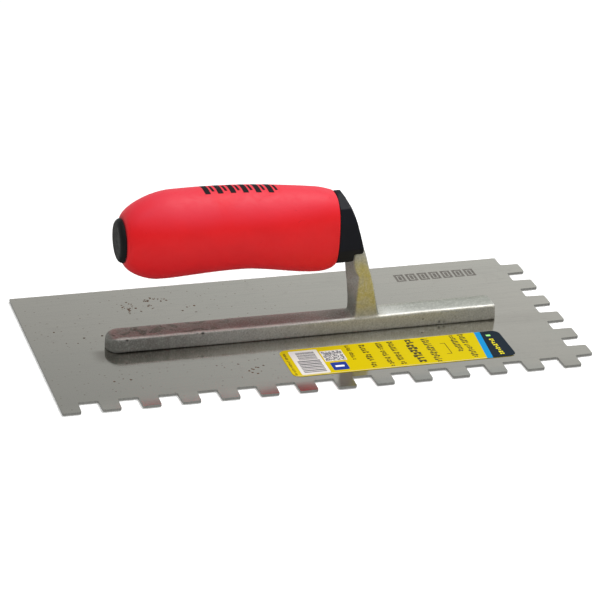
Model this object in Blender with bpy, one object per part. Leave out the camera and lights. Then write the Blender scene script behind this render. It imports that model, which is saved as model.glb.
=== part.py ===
"""Notched trowel: steel blade, cast mounting, riveted joint and a soft-grip handle.

Frame: metres, +Z up. The origin is the middle of the blade's underside, +X runs along the
blade towards its notched end, and the notched long edge faces -Y.
Sizes below are in millimetres and are turned into metres where points are made.
"""
import math

import bmesh
import bpy
from mathutils import Vector

MM = 0.001

# Blade
BLADE_LENGTH = 279.4
BLADE_WIDTH = 130.0
BLADE_THICK = 1.2
NOTCH_DEPTH = 10.0
NOTCH_PITCH = 20.0
TOOTH_TIP = 9.3
TOOTH_ROOT = 9.9
FRONT_TEETH = 14
END_TEETH = 6
END_TOOTH_TIP = 10.0
END_TOOTH_ROOT = 10.6
END_TEETH_START = 0.6
CORNER_RADIUS = 0.9
PLAIN_CORNER_RADIUS = 0.6

# Mounting bar
BAR_LENGTH = 207.5
BAR_WIDTH = 14.2
BAR_HEIGHT = 7.9
BAR_GAP = 0.15
BAR_END_RADIUS = 6.9
BAR_CORNER_RADIUS = 1.6
BAR_EDGE = 0.8
BAR_DRAFT = 0.25

# Post, tang and the screw that holds the handle
POST_FRONT = -6.0
POST_BACK = 6.0
TANG_HALF_WIDTH = 5.0
TANG_HALF_HEIGHT = 6.0
TANG_END = -16.0
TANG_START = 18.0
AXIS_HEIGHT = 60.2
TANG_TOP = AXIS_HEIGHT + TANG_HALF_HEIGHT
SCREW_RADIUS = 3.0
SCREW_TIP = 0.0
THREAD_SPARE = 4.0
SCREW_HEAD_RADIUS = 5.0
SCREW_HEAD_HEIGHT = 6.0
SOCKET_RADIUS = 2.9
SOCKET_DEPTH = 3.5
WASHER_RADIUS = 7.0
WASHER_THICK = 1.5
SEAT = -76.0
CLEARANCE = 0.15
GAP = 0.3
OVERRUN = 2.0

# Rivets
RIVET_COUNT = 10
RIVET_PITCH = 21.0
RIVET_RADIUS = 2.0
RIVET_HEAD_RADIUS = 3.4
RIVET_LENGTH = 5.2
RIVET_GAP = 0.15
RIVET_CHAMFER = 0.4

# Handle
GRIP_REAR = -96.0
GRIP_FRONT = 13.6
GRIP_WALL = 3.0
REAR_RADIUS = 11.6
CREST_X = -57.7
CREST_HEIGHT = 85.0
CREST_CURVATURE = 0.001205
TOP_SHOULDER = 25.0
LOW_SHOULDER = 16.5
SHOULDER_POWER = 1.63
TOP_SHOULDER_POWER = 1.85
HEEL_HEIGHT = 39.1
WAIST_HEIGHT = 40.9
LIP_HEIGHT = 36.2
WAIST_X = -40.0
WAIST_FLAT = 4.0
LIP_X = 4.5
LIP_LENGTH = 9.0
LIP_TURN = 0.97
GRIP_HALF_WIDTH = 18.0
NECK_HALF_WIDTH = 13.9
NARROW_FROM = -22.0
NARROW_TO = 15.6
RIM_HALF_WIDTH = 13.0
RIM_HALF_HEIGHT = 19.4
RIM_HEIGHT = 58.4
SECTION_POWER = 2.1
RIM_POWER = 2.6
RIM_BLEND = 30.0
CAP_RADIUS = 11.35
CAP_PROUD = 3.1
COUNTERBORE_RADIUS = 7.5

# Label
LABEL_LENGTH = 119.0
LABEL_WIDTH = 29.3
LABEL_THICK = 0.15
LABEL_CENTRE = (40.7, -35.2)
LABEL_TURN = math.radians(0.45)
LABEL_LIFT = 0.03
LABEL_CORNER = 4.0

RING = 40


# ---------------------------------------------------------------- scene and helpers

for old in list(bpy.data.objects):
    bpy.data.objects.remove(old, do_unlink=True)


def new_collection(name):
    collection = bpy.data.collections.new(name)
    bpy.context.scene.collection.children.link(collection)
    return collection


PARTS = new_collection("notched_trowel")
CUTTERS = new_collection("cutters")


def material(name, colour, roughness, metallic=0.0):
    mat = bpy.data.materials.new(name)
    mat.use_nodes = True
    shader = mat.node_tree.nodes["Principled BSDF"]
    shader.inputs["Base Color"].default_value = (*colour, 1.0)
    shader.inputs["Roughness"].default_value = roughness
    shader.inputs["Metallic"].default_value = metallic
    mat.diffuse_color = (*colour, 1.0)
    return mat


def add_mesh(name, bm, collection=PARTS, smooth_angle=35.0):
    """Turn a bmesh in millimetres into an object in metres."""
    bmesh.ops.scale(bm, vec=(MM, MM, MM), verts=bm.verts)
    bmesh.ops.recalc_face_normals(bm, faces=bm.faces)
    mesh = bpy.data.meshes.new(name)
    bm.to_mesh(mesh)
    bm.free()
    mesh.shade_smooth()
    mesh.set_sharp_from_angle(angle=math.radians(smooth_angle))
    obj = bpy.data.objects.new(name, mesh)
    collection.objects.link(obj)
    if collection is CUTTERS:
        obj.hide_render = True
        obj.display_type = 'WIRE'
    return obj


def boolean(obj, cutter, operation='DIFFERENCE'):
    modifier = obj.modifiers.new(cutter.name, 'BOOLEAN')
    modifier.operation = operation
    modifier.solver = 'EXACT'
    modifier.object = cutter


def loft(rings, closed=False):
    """Skin a list of equal-length rings; end rings are capped unless the loft closes on itself."""
    bm = bmesh.new()
    rows = [[bm.verts.new(point) for point in ring] for ring in rings]
    count = len(rows[0])
    pairs = list(zip(rows, rows[1:]))
    if closed:
        pairs.append((rows[-1], rows[0]))
    for near, far in pairs:
        for i in range(count):
            j = (i + 1) % count
            bm.faces.new((near[i], near[j], far[j], far[i]))
    if not closed:
        bm.faces.new(list(reversed(rows[0])))
        bm.faces.new(rows[-1])
    return bm


def fillet(points, radii, steps=4):
    """Round the corners of a closed 2D outline."""
    outline = []
    count = len(points)
    for i, corner in enumerate(points):
        corner = Vector(corner)
        radius = radii[i] if isinstance(radii, (list, tuple)) else radii
        if radius <= 0.0:
            outline.append(corner)
            continue
        before = (Vector(points[i - 1]) - corner).normalized()
        after = (Vector(points[(i + 1) % count]) - corner).normalized()
        half = before.angle(after) / 2.0
        reach = radius / math.tan(half)
        centre = corner + (before + after).normalized() * (radius / math.sin(half))
        start = corner + before * reach - centre
        turn = math.pi - 2.0 * half
        if before.x * after.y - before.y * after.x > 0.0:
            turn = -turn
        for k in range(steps + 1):
            angle = turn * k / steps
            cos_a, sin_a = math.cos(angle), math.sin(angle)
            spoke = Vector((start.x * cos_a - start.y * sin_a, start.x * sin_a + start.y * cos_a))
            outline.append(centre + spoke)
    return outline


def plate(name, outline, low, high, collection=PARTS):
    """A flat outline in XY, filled and extruded from low to high."""
    curve = bpy.data.curves.new(name + "_outline", 'CURVE')
    curve.dimensions = '2D'
    curve.fill_mode = 'BOTH'
    curve.extrude = (high - low) / 2.0 * MM
    spline = curve.splines.new('POLY')
    spline.points.add(len(outline) - 1)
    for point, (x, y) in zip(spline.points, outline):
        point.co = (x * MM, y * MM, 0.0, 1.0)
    spline.use_cyclic_u = True
    guide = bpy.data.objects.new(name + "_outline", curve)
    guide.location.z = (low + high) / 2.0 * MM
    CUTTERS.objects.link(guide)
    bpy.context.view_layer.update()
    graph = bpy.context.evaluated_depsgraph_get()
    mesh = bpy.data.meshes.new_from_object(guide.evaluated_get(graph))
    mesh.name = name
    bm = bmesh.new()
    bm.from_mesh(mesh)
    bmesh.ops.remove_doubles(bm, verts=bm.verts, dist=0.000002)
    bmesh.ops.recalc_face_normals(bm, faces=bm.faces)
    bm.to_mesh(mesh)
    bm.free()
    obj = bpy.data.objects.new(name, mesh)
    obj.matrix_world = guide.matrix_world.copy()
    collection.objects.link(obj)
    bpy.data.objects.remove(guide, do_unlink=True)
    if collection is CUTTERS:
        obj.hide_render = True
        obj.display_type = 'WIRE'
    return obj


def side_prism(outline, low_y, high_y):
    """An outline in XZ, extruded along Y."""
    return loft([[(x, y, z) for x, z in outline] for y in (low_y, high_y)])


def turned_x(profile, segments=32, closed=False):
    """Rings along X round the handle's axis; profile is (x, radius)."""
    rings = []
    for x, radius in profile:
        ring = []
        for k in range(segments):
            angle = 2.0 * math.pi * k / segments
            ring.append((x, radius * math.cos(angle), AXIS_HEIGHT + radius * math.sin(angle)))
        rings.append(ring)
    return loft(rings, closed)


def turned_z(profile, x, y, segments=24):
    """Rings along Z at (x, y); profile is (z, radius)."""
    rings = []
    for z, radius in profile:
        ring = []
        for k in range(segments):
            angle = 2.0 * math.pi * k / segments
            ring.append((x + radius * math.cos(angle), y + radius * math.sin(angle), z))
        rings.append(ring)
    return loft(rings)


def smoothstep(t):
    t = min(1.0, max(0.0, t))
    return t * t * (3.0 - 2.0 * t)


# ---------------------------------------------------------------- blade and rivets

def rivet_places():
    first = -RIVET_PITCH * (RIVET_COUNT - 1) / 2.0
    return [first + RIVET_PITCH * i for i in range(RIVET_COUNT)]


def blade_outline():
    """Front edge from left to right, up the notched end, then back along the plain edges."""
    left = -BLADE_LENGTH / 2.0
    right = BLADE_LENGTH / 2.0
    front = -BLADE_WIDTH / 2.0
    back = BLADE_WIDTH / 2.0
    taper = (TOOTH_ROOT - TOOTH_TIP) / 2.0
    points = []
    radii = []
    for i in range(FRONT_TEETH):
        start = left + i * NOTCH_PITCH
        if i > 0:
            points.append((start - taper, front + NOTCH_DEPTH))
            radii.append(CORNER_RADIUS)
        points.append((start, front))
        points.append((start + TOOTH_TIP, front))
        points.append((start + TOOTH_TIP + taper, front + NOTCH_DEPTH))
        radii += [CORNER_RADIUS, CORNER_RADIUS, CORNER_RADIUS]
    end_taper = (END_TOOTH_ROOT - END_TOOTH_TIP) / 2.0
    for i in range(END_TEETH):
        low = front + NOTCH_DEPTH + END_TEETH_START + i * NOTCH_PITCH
        root = right - NOTCH_DEPTH
        if i > 0:
            points.append((root, low - end_taper))
            radii.append(CORNER_RADIUS)
        points.append((right, low))
        points.append((right, low + END_TOOTH_TIP))
        points.append((root, low + END_TOOTH_TIP + end_taper))
        radii += [CORNER_RADIUS, CORNER_RADIUS, CORNER_RADIUS]
    points += [(right - NOTCH_DEPTH, back), (left, back)]
    radii += [PLAIN_CORNER_RADIUS, PLAIN_CORNER_RADIUS]
    return fillet(points, radii, 3)


def build_blade():
    blade = plate("blade", blade_outline(), 0.0, BLADE_THICK)
    run = BLADE_THICK / 2.0
    slope = (RIVET_HEAD_RADIUS - RIVET_RADIUS) / BLADE_THICK
    profile = [
        (-run, RIVET_HEAD_RADIUS + RIVET_GAP + run * slope),
        (BLADE_THICK, RIVET_RADIUS + RIVET_GAP),
        (BLADE_THICK + run, RIVET_RADIUS + RIVET_GAP),
    ]
    for i, x in enumerate(rivet_places()):
        sink = add_mesh(f"countersink_{i + 1}", turned_z(profile, x, 0.0), CUTTERS)
        boolean(blade, sink)
    blade.data.materials.append(material("blade_steel", (0.62, 0.62, 0.58), 0.3, 1.0))


def build_rivets():
    steel = material("rivet_steel", (0.55, 0.55, 0.53), 0.35, 1.0)
    top = BLADE_THICK + BAR_GAP + RIVET_LENGTH
    profile = [
        (0.0, RIVET_HEAD_RADIUS),
        (BLADE_THICK - RIVET_GAP, RIVET_RADIUS),
        (top - RIVET_CHAMFER, RIVET_RADIUS),
        (top, RIVET_RADIUS - RIVET_CHAMFER),
    ]
    for i, x in enumerate(rivet_places()):
        rivet = add_mesh(f"rivet_{i + 1}", turned_z(profile, x, 0.0, 20))
        rivet.data.materials.append(steel)


# ---------------------------------------------------------------- cast mounting

def bar_outline(inset):
    """Plan of the bar: a round left end and a squarer right end."""
    left = -BAR_LENGTH / 2.0 + inset
    right = BAR_LENGTH / 2.0 - inset
    half = BAR_WIDTH / 2.0 - inset
    corners = [(left, -half), (right, -half), (right, half), (left, half)]
    round_end = BAR_END_RADIUS - inset
    square_end = BAR_CORNER_RADIUS - inset
    return fillet(corners, [round_end, square_end, square_end, round_end], 8)


def build_bar():
    base = BLADE_THICK + BAR_GAP
    top = BLADE_THICK + BAR_HEIGHT
    levels = [(base, 0.0)]
    for k in range(5):
        angle = math.radians(90.0 * k / 4)
        inset = BAR_DRAFT + BAR_EDGE * (1.0 - math.cos(angle))
        levels.append((top - BAR_EDGE + BAR_EDGE * math.sin(angle), inset))
    rings = [[(x, y, z) for x, y in bar_outline(inset)] for z, inset in levels]
    return loft(rings)


# Post sections from the bar up to the tang: height, front right, front left, back left, back right
POST_LEVELS = [
    (4.0, 40.7, 25.8, 24.8, 40.2),
    (8.0, 39.9, 26.9, 26.0, 39.4),
    (16.0, 38.2, 27.0, 25.4, 37.7),
    (25.0, 36.3, 27.5, 24.5, 35.8),
    (31.5, 34.6, 27.9, 23.5, 34.1),
    (35.4, 33.4, 25.8, 23.0, 32.9),
    (39.0, 32.4, 24.8, 22.8, 32.0),
    (44.0, 31.0, 24.6, 22.6, 30.6),
    (48.0, 29.4, 24.0, 22.6, 29.0),
    (53.0, 27.0, 22.5, 21.0, 26.6),
    (58.0, 24.2, 19.6, 18.2, 23.8),
    (63.0, 20.6, 14.6, 13.4, 20.2),
    (TANG_TOP, 17.0, 10.5, 9.5, 16.6),
]
POST_EDGE = 1.0
POST_BEVEL = 1.7
POST_BEVEL_STEP = 0.9
SLOT_LEVEL = 5
SLOT_LOW = 30.0
SLOT_RIGHT = 70.0


def build_post():
    """Post and neck: an eight-sided section that leans back towards the handle as it rises."""
    rings = []
    for height, front_right, front_left, back_left, back_right in POST_LEVELS:
        ring = [
            (front_right, POST_FRONT + POST_EDGE, height),
            (back_right, POST_BACK - POST_EDGE, height),
            (back_right - POST_EDGE, POST_BACK, height),
            (back_left + POST_EDGE, POST_BACK, height),
            (back_left, POST_BACK - POST_EDGE, height),
            (front_left - POST_BEVEL_STEP, POST_FRONT + POST_BEVEL, height),
            (front_left, POST_FRONT, height),
            (front_right - POST_EDGE, POST_FRONT, height),
        ]
        rings.append(ring)
    return loft(rings)


def tang_outline(grow=0.0):
    """Side view of the tang; grow widens it for the pocket in the handle."""
    top = TANG_TOP + grow
    low = AXIS_HEIGHT - TANG_HALF_HEIGHT - grow
    end = TANG_END - grow
    return [(end, low), (TANG_START, low), (TANG_START, top), (end, top)]


def slot_outline():
    """Side view of the slot in the handle's front end, open to the right and below."""
    neck = [(back_left - GAP, height) for height, _, _, back_left, _ in POST_LEVELS[SLOT_LEVEL:]]
    top = TANG_TOP + GAP
    mouth = [(neck[0][0], SLOT_LOW), (SLOT_RIGHT, SLOT_LOW), (SLOT_RIGHT, top), (neck[-1][0] - GAP, top)]
    return mouth + neck[::-1]


def build_mounting():
    mounting = add_mesh("mounting", build_bar())
    boolean(mounting, add_mesh("post_form", build_post(), CUTTERS), 'UNION')
    tang = side_prism(tang_outline(), -TANG_HALF_WIDTH, TANG_HALF_WIDTH)
    boolean(mounting, add_mesh("tang_form", tang, CUTTERS), 'UNION')
    thread_radius = SCREW_RADIUS + CLEARANCE
    thread = turned_x([(TANG_END - OVERRUN, thread_radius), (SCREW_TIP + THREAD_SPARE, thread_radius)], 24)
    boolean(mounting, add_mesh("screw_hole", thread, CUTTERS))
    hole_top = BLADE_THICK + BAR_GAP + RIVET_LENGTH + RIVET_GAP
    profile = [(0.0, RIVET_RADIUS + RIVET_GAP), (hole_top, RIVET_RADIUS + RIVET_GAP)]
    for i, x in enumerate(rivet_places()):
        hole = add_mesh(f"rivet_hole_{i + 1}", turned_z(profile, x, 0.0, 20), CUTTERS)
        boolean(mounting, hole)
    mounting.data.materials.append(material("cast_aluminium", (0.5, 0.5, 0.46), 0.42, 1.0))


# ---------------------------------------------------------------- handle

def bulge(t, power=SHOULDER_POWER):
    """Quarter-round shoulder from 0 to 1, flatter than a circle."""
    t = min(1.0, max(0.0, t))
    return (1.0 - (1.0 - t) ** power) ** (1.0 / power)


def grip_top(x):
    crest = CREST_HEIGHT - CREST_CURVATURE * (x - CREST_X) ** 2
    start = AXIS_HEIGHT + REAR_RADIUS
    return start + (crest - start) * bulge((x - GRIP_REAR) / TOP_SHOULDER, TOP_SHOULDER_POWER)


def grip_bottom(x):
    start = AXIS_HEIGHT - REAR_RADIUS
    heel_x = GRIP_REAR + LOW_SHOULDER
    rise = (WAIST_HEIGHT - HEEL_HEIGHT) * smoothstep((x - heel_x) / (WAIST_X - heel_x))
    fall_x = WAIST_X + WAIST_FLAT
    fall = (WAIST_HEIGHT - LIP_HEIGHT) * smoothstep((x - fall_x) / (LIP_X - fall_x))
    low = HEEL_HEIGHT + rise - fall
    return start + (low - start) * bulge((x - GRIP_REAR) / LOW_SHOULDER)


def grip_half_width(x):
    rear = REAR_RADIUS + (GRIP_HALF_WIDTH - REAR_RADIUS) * bulge((x - GRIP_REAR) / TOP_SHOULDER)
    narrowing = smoothstep((x - NARROW_FROM) / (NARROW_TO - NARROW_FROM))
    return rear + (NECK_HALF_WIDTH - GRIP_HALF_WIDTH) * narrowing


def oval(x, centre, half_width, half_height, power=SECTION_POWER, count=RING):
    ring = []
    for k in range(count):
        angle = 2.0 * math.pi * k / count
        cos_a, sin_a = math.cos(angle), math.sin(angle)
        y = half_width * math.copysign(abs(cos_a) ** (2.0 / power), cos_a)
        z = centre + half_height * math.copysign(abs(sin_a) ** (2.0 / power), sin_a)
        ring.append((x, y, z))
    return ring


def lip_rounding(x):
    """0 along the grip, rising as a quarter round to 1 at its front edge."""
    reach = LIP_TURN * min(1.0, max(0.0, (x - GRIP_FRONT + LIP_LENGTH) / LIP_LENGTH))
    return (1.0 - math.sqrt(1.0 - reach ** 2)) / (1.0 - math.sqrt(1.0 - LIP_TURN ** 2))


def grip_section(x, inset=0.0):
    """Oval section of the grip, blended into a circle at the rear and a rounded rim in front."""
    top = grip_top(x)
    low = grip_bottom(x)
    half_width = grip_half_width(x)
    rounding = lip_rounding(x)
    top += (RIM_HEIGHT + RIM_HALF_HEIGHT - top) * rounding
    low += (RIM_HEIGHT - RIM_HALF_HEIGHT - low) * rounding
    half_width += (RIM_HALF_WIDTH - half_width) * rounding
    power = 2.0 + (SECTION_POWER - 2.0) * smoothstep((x - GRIP_REAR) / TOP_SHOULDER)
    power += (RIM_POWER - SECTION_POWER) * smoothstep((x - GRIP_FRONT + RIM_BLEND) / RIM_BLEND)
    return oval(x, (top + low) / 2.0, half_width - inset, (top - low) / 2.0 - inset, power)


def grip_stations():
    """Places of the grip's sections: close together on the rear shoulder and the front lip."""
    shoulder = [GRIP_REAR + TOP_SHOULDER * (k / 9.0) ** 1.7 for k in range(10)]
    middle_start = GRIP_REAR + TOP_SHOULDER
    middle_end = GRIP_FRONT - LIP_LENGTH
    middle = [middle_start + (middle_end - middle_start) * k / 13.0 for k in range(1, 14)]
    lip = [GRIP_FRONT - LIP_LENGTH * (1.0 - k / 7.0) ** 1.5 for k in range(1, 8)]
    return shoulder + middle + lip


def build_grip():
    stations = grip_stations()
    outer = [grip_section(x) for x in stations]
    inner = [grip_section(x, GRIP_WALL - CLEARANCE) for x in stations]
    grip = add_mesh("soft_grip", loft(outer + list(reversed(inner)), closed=True))
    grip.data.materials.append(material("soft_red", (0.72, 0.02, 0.03), 0.55))


# Front end of the core, in side view: the slanted face over the post
COLLAR_FACE = [
    (26.6, 47.0),
    (27.5, 47.9),
    (27.6, 49.5),
    (25.4, 57.6),
    (23.4, 64.2),
    (21.7, 69.2),
    (20.0, 73.2),
    (18.3, 76.4),
    (16.8, 78.3),
]
COLLAR_STEP_X = 22.5
COLLAR_STEP_Z = 47.0
COLLAR_START = GRIP_FRONT + CLEARANCE
COLLAR_END = GRIP_FRONT + 18.0
COLLAR_HALF_HEIGHT = 19.6
COLLAR_HALF_WIDTH = 12.8
COLLAR_END_HALF_WIDTH = 11.4
COLLAR_EDGE = 1.0
STEP_RADIUS = 3.5
STEP_INNER_RADIUS = 0.8
CORE_START = GRIP_REAR + 0.6
SIDE_CUT = 30.0


def collar_corners(half_width, half_height, centre):
    """Ten-sided section: flat sides, long slanting flats above and below, a narrow top."""
    front = [
        (0.22 * half_width, -0.975 * half_height),
        (0.82 * half_width, -0.785 * half_height),
        (half_width, -0.42 * half_height),
        (half_width, 0.36 * half_height),
        (0.83 * half_width, 0.715 * half_height),
        (0.17 * half_width, half_height),
    ]
    back = [(-y, z) for y, z in reversed(front)]
    return [(y, centre + z) for y, z in front + back]


def collar_ring(x, half_width):
    outline = fillet(collar_corners(half_width, COLLAR_HALF_HEIGHT, RIM_HEIGHT), COLLAR_EDGE, 2)
    return [(x, y, z) for y, z in outline]


def build_collar():
    """Faceted bar that narrows to the front; its side outline is cut from it afterwards."""
    start = collar_ring(COLLAR_START, COLLAR_HALF_WIDTH)
    end = collar_ring(COLLAR_END, COLLAR_END_HALF_WIDTH)
    return loft([start, end])


def collar_side_outline():
    """Side view: a lip that hangs down behind the post, a step, and the slanted face."""
    top = RIM_HEIGHT + RIM_HALF_HEIGHT + OVERRUN
    low = RIM_HEIGHT - RIM_HALF_HEIGHT - OVERRUN
    back = COLLAR_START - OVERRUN
    corners = [(back, low), (COLLAR_STEP_X, low), (COLLAR_STEP_X, COLLAR_STEP_Z)] + COLLAR_FACE
    corners += [(COLLAR_FACE[-1][0], top), (back, top)]
    radii = [0.0, STEP_RADIUS, STEP_INNER_RADIUS] + [0.0] * (len(COLLAR_FACE) + 2)
    return fillet(corners, radii, 5)


def build_core():
    stations = [CORE_START] + [x for x in grip_stations() if x > CORE_START + CLEARANCE]
    rings = [grip_section(x, GRIP_WALL) for x in stations]
    rings.append([(GRIP_FRONT + OVERRUN, y, z) for _, y, z in grip_section(GRIP_FRONT, GRIP_WALL)])
    core = add_mesh("handle_core", loft(rings))
    collar = add_mesh("collar_form", build_collar(), CUTTERS)
    side = add_mesh("collar_side", side_prism(collar_side_outline(), -SIDE_CUT, SIDE_CUT), CUTTERS)
    boolean(collar, side, 'INTERSECT')
    boolean(core, collar, 'UNION')
    pocket = side_prism(tang_outline(GAP), -TANG_HALF_WIDTH - GAP, TANG_HALF_WIDTH + GAP)
    boolean(core, add_mesh("tang_pocket", pocket, CUTTERS))
    slot = side_prism(slot_outline(), POST_FRONT - GAP, POST_BACK + GAP)
    boolean(core, add_mesh("post_slot", slot, CUTTERS))
    rear = GRIP_REAR - OVERRUN
    bore_radius = SCREW_RADIUS + GAP
    bore = turned_x([(rear, bore_radius), (TANG_END + OVERRUN, bore_radius)], 24)
    boolean(core, add_mesh("screw_bore", bore, CUTTERS))
    counterbore = turned_x([(rear, COUNTERBORE_RADIUS), (SEAT, COUNTERBORE_RADIUS)])
    boolean(core, add_mesh("counterbore", counterbore, CUTTERS))
    core.data.materials.append(material("black_plastic", (0.02, 0.02, 0.022), 0.4))


def build_end_cap():
    """Plug: a slightly domed flange outside and a hollow stem in the counterbore."""
    face = GRIP_REAR - CAP_PROUD
    seat = GRIP_REAR - 0.3
    stem = COUNTERBORE_RADIUS - CLEARANCE
    hollow = stem - 1.6
    profile = [
        (face, 3.5),
        (face + 0.12, 7.5),
        (face + 0.3, 9.2),
        (face + 0.65, 10.1),
        (face + 1.4, 10.85),
        (face + 2.2, CAP_RADIUS),
        (seat, CAP_RADIUS),
        (seat, stem),
        (GRIP_REAR + 7.0, stem),
        (GRIP_REAR + 7.5, stem - 0.5),
        (GRIP_REAR + 7.5, hollow),
        (GRIP_REAR + 1.0, hollow),
    ]
    cap = add_mesh("end_cap", turned_x(profile, 40))
    cap.data.materials.append(material("cap_plastic", (0.04, 0.04, 0.042), 0.45))


def build_screw():
    seat = SEAT - GAP - WASHER_THICK - GAP
    head = seat - SCREW_HEAD_HEIGHT
    profile = [
        (head, SCREW_HEAD_RADIUS - 0.5),
        (head + 0.5, SCREW_HEAD_RADIUS),
        (seat, SCREW_HEAD_RADIUS),
        (seat, SCREW_RADIUS),
        (SCREW_TIP - 1.0, SCREW_RADIUS),
        (SCREW_TIP, SCREW_RADIUS - 0.8),
    ]
    screw = add_mesh("handle_bolt", turned_x(profile, 24))
    socket = turned_x([(head - OVERRUN, SOCKET_RADIUS), (head + SOCKET_DEPTH, SOCKET_RADIUS)], 6)
    boolean(screw, add_mesh("screw_socket", socket, CUTTERS))
    screw.data.materials.append(material("zinc_steel", (0.6, 0.6, 0.58), 0.35, 1.0))


def build_washer():
    far = SEAT - GAP
    near = far - WASHER_THICK
    hole = SCREW_RADIUS + GAP
    profile = [(near, hole), (near, WASHER_RADIUS), (far, WASHER_RADIUS), (far, hole)]
    washer = add_mesh("bolt_washer", turned_x(profile, closed=True))
    washer.data.materials.append(material("washer_steel", (0.6, 0.6, 0.58), 0.35, 1.0))


def build_label():
    half_length = LABEL_LENGTH / 2.0
    half_width = LABEL_WIDTH / 2.0
    corners = [(-half_length, -half_width), (half_length, -half_width),
               (half_length, half_width), (-half_length, half_width)]
    cos_a, sin_a = math.cos(LABEL_TURN), math.sin(LABEL_TURN)
    centre_x, centre_y = LABEL_CENTRE
    outline = []
    for x, y in fillet(corners, LABEL_CORNER, 5):
        outline.append((centre_x + x * cos_a - y * sin_a, centre_y + x * sin_a + y * cos_a))
    low = BLADE_THICK + LABEL_LIFT
    label = plate("label", outline, low, low + LABEL_THICK)
    label.data.materials.append(material("label_film", (0.85, 0.7, 0.02), 0.35))


build_blade()
build_rivets()
build_mounting()
build_core()
build_grip()
build_end_cap()
build_screw()
build_washer()
build_label()
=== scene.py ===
"""Looks of the notched trowel: fine surfaces, finishes, label print, lights and camera.

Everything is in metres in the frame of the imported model; MM turns millimetres into metres.
Outlines and turned profiles below are written in millimetres.
"""
import math
import random

import bmesh
import bpy
import numpy as np
from mathutils import Matrix, Vector, noise


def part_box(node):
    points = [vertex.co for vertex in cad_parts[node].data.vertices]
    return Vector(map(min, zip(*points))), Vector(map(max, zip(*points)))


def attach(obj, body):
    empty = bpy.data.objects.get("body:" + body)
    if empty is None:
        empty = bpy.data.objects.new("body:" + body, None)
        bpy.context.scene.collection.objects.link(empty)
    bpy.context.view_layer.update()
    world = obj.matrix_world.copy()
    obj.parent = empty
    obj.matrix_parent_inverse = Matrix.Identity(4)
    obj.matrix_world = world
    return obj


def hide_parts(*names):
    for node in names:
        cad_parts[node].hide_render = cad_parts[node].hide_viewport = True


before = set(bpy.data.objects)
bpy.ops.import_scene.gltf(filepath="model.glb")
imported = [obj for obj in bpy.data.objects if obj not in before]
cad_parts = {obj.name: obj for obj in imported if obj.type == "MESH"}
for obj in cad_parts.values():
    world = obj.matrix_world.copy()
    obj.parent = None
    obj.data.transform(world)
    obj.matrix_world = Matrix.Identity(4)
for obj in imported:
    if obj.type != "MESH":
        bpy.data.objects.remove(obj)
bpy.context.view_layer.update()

MM = 0.001


def box_mm(node):
    """Low and high corners of a CAD node's box, in millimetres."""
    low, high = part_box(node)
    return low / MM, high / MM


BLADE_LOW, BLADE_HIGH = box_mm("blade")
GRIP_LOW, GRIP_HIGH = box_mm("soft_grip")
CAP_LOW, CAP_HIGH = box_mm("end_cap")
LABEL_LOW, LABEL_HIGH = box_mm("label")
MOUNT_LOW = box_mm("mounting")[0]

# Blade
THICK = BLADE_HIGH.z
NOTCH_DEPTH = 10.0
NOTCH_PITCH = 20.0
TOOTH_TIP = 9.3
TOOTH_ROOT = 9.9
FRONT_TEETH = 14
END_TEETH = 6
END_TOOTH_TIP = 10.0
END_TOOTH_ROOT = 10.6
END_TEETH_START = 0.6
CORNER_RADIUS = 0.9
PLAIN_CORNER_RADIUS = 0.6
BLADE_GRID = 2.5
BLADE_EDGE = 0.1
EDGE_SLOPE = 0.8
TOOTH_MARGIN = 1.0
TOOTH_TILT_SPREAD = 0.5
# Front teeth that don't droop at random, counted from 0 at the left: degrees of droop at the tip
BENT_TEETH = {1: -0.6, 2: 0.0, 3: -0.8, 4: -0.8, 5: 0.45, 6: 1.1, 7: -0.8}

# Rivets
RIVET_COUNT = 10
RIVET_PITCH = 21.0
SINK_TOP_RADIUS = 2.15
SINK_LOW_RADIUS = 3.55

# Handle
AXIS_HEIGHT = (CAP_LOW.z + CAP_HIGH.z) / 2.0
GRIP_REAR = GRIP_LOW.x
GRIP_FRONT = GRIP_HIGH.x
GRIP_WALL = 2.85
REAR_RADIUS = 11.6
CREST_X = -57.7
CREST_HEIGHT = GRIP_HIGH.z
CREST_CURVATURE = 0.001205
TOP_SHOULDER = 25.0
LOW_SHOULDER = 16.5
SHOULDER_POWER = 1.63
TOP_SHOULDER_POWER = 1.85
HEEL_HEIGHT = 39.1
WAIST_HEIGHT = 40.9
LIP_HEIGHT = 36.2
WAIST_X = -40.0
WAIST_FLAT = 4.0
LIP_X = 4.5
LIP_LENGTH = 9.0
LIP_TURN = 0.97
GRIP_HALF_WIDTH = 18.0
NECK_HALF_WIDTH = 13.9
NARROW_FROM = -22.0
NARROW_TO = 15.6
RIM_HALF_WIDTH = 13.0
RIM_HALF_HEIGHT = 19.4
RIM_HEIGHT = 58.4
SECTION_POWER = 2.1
RIM_POWER = 2.6
RIM_BLEND = 30.0

# Label
LABEL_LENGTH = 119.0
LABEL_WIDTH = 29.3
LABEL_TURN = math.radians(0.45)
LABEL_CORNER = 4.0
LABEL_TOP = LABEL_HIGH.z
INK = 0.012
INK_SINK = 0.004

# Camera
CAMERA_TARGET = Vector((9.563, 34.716, 1.2)) * MM
CAMERA_DISTANCE = 1.529316
CAMERA_AZIMUTH = math.radians(-17.884)
CAMERA_ELEVATION = math.radians(25.596)
CAMERA_ROLL = math.radians(2.969)
CAMERA_LENS = 174.34

# Studio: strengths of the light from each side; each back wall goes from its left value to its right
# one while the direction's X goes through BACK_WALL_TURN
BACK_WALL_TURN = (0.15, 0.36)
BACK_WALL_LOW = (0.55, 0.69)
BACK_WALL_HIGH = (0.27, 0.38)
FRONT_WALL = 0.17
BACK_CEILING = 0.06
FRONT_CEILING = 0.26
ZENITH = 0.45
BELOW = 0.45


# -------- finishes

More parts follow.
